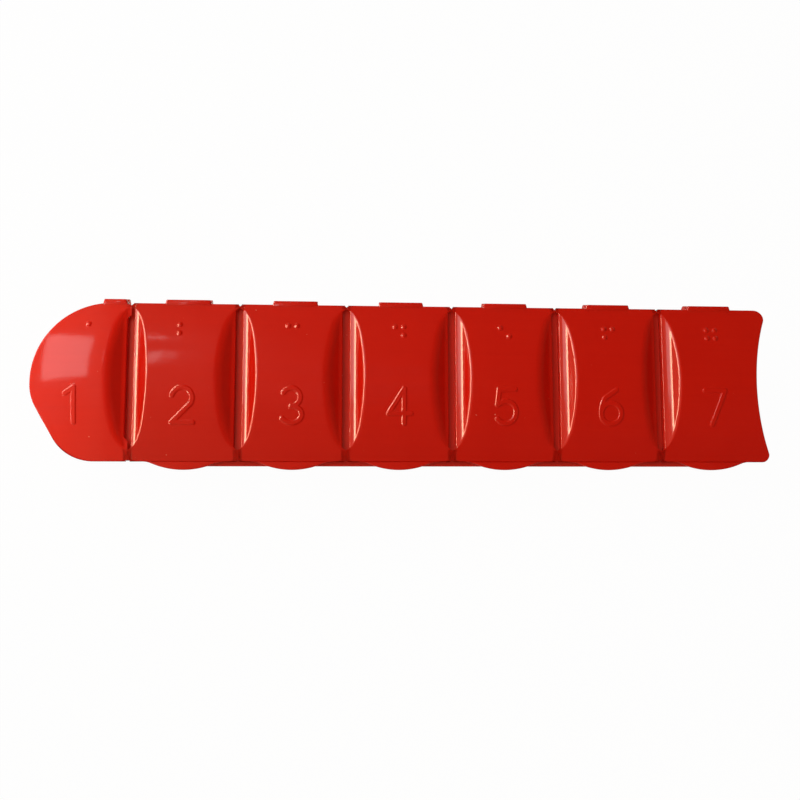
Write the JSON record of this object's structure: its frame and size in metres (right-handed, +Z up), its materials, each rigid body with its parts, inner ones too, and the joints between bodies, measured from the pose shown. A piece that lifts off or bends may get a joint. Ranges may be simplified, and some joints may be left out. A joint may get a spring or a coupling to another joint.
{
  "type": "pill organizer",
  "caption": "Long weekly pill box with one compartment a day, each under its own arched, hinged lid with a thumb tab, one end round and the other hollowed.",
  "frame": {"origin": "on the base, under the middle of the fourth compartment", "axes": "+X along the row to the hollowed end, +Y to the hinges, +Z up from the base"},
  "size_m": [0.2094, 0.0485, 0.0255],
  "materials": {
    "tray": "moulded, glossy, slightly translucent red",
    "lid": "moulded, glossy, slightly translucent red"
  },
  "bodies": {
    "tray": {"tray": "tray"},
    "lid_1": {"lid_1": "lid"},
    "lid_2": {"lid_2": "lid"},
    "lid_3": {"lid_3": "lid"},
    "lid_4": {"lid_4": "lid"},
    "lid_5": {"lid_5": "lid"},
    "lid_6": {"lid_6": "lid"},
    "lid_7": {"lid_7": "lid"}
  },
  "joints": [
    {"name": "lid_1_hinge", "type": "hinge", "parent": "tray", "child": "lid_1", "pos_m": [-0.0796, 0.02225, 0.0178], "axis": [-1, 0, 0], "range_deg": [0, 180]},
    {"name": "lid_2_hinge", "type": "hinge", "parent": "tray", "child": "lid_2", "pos_m": [-0.0594, 0.02225, 0.0178], "axis": [-1, 0, 0], "range_deg": [0, 180]},
    {"name": "lid_3_hinge", "type": "hinge", "parent": "tray", "child": "lid_3", "pos_m": [-0.0294, 0.02225, 0.0178], "axis": [-1, 0, 0], "range_deg": [0, 180]},
    {"name": "lid_4_hinge", "type": "hinge", "parent": "tray", "child": "lid_4", "pos_m": [0.0006, 0.02225, 0.0178], "axis": [-1, 0, 0], "range_deg": [0, 180]},
    {"name": "lid_5_hinge", "type": "hinge", "parent": "tray", "child": "lid_5", "pos_m": [0.0306, 0.02225, 0.0178], "axis": [-1, 0, 0], "range_deg": [0, 180]},
    {"name": "lid_6_hinge", "type": "hinge", "parent": "tray", "child": "lid_6", "pos_m": [0.0606, 0.02225, 0.0178], "axis": [-1, 0, 0], "range_deg": [0, 180]},
    {"name": "lid_7_hinge", "type": "hinge", "parent": "tray", "child": "lid_7", "pos_m": [0.0906, 0.02225, 0.0178], "axis": [-1, 0, 0], "range_deg": [0, 180]}
  ]
}
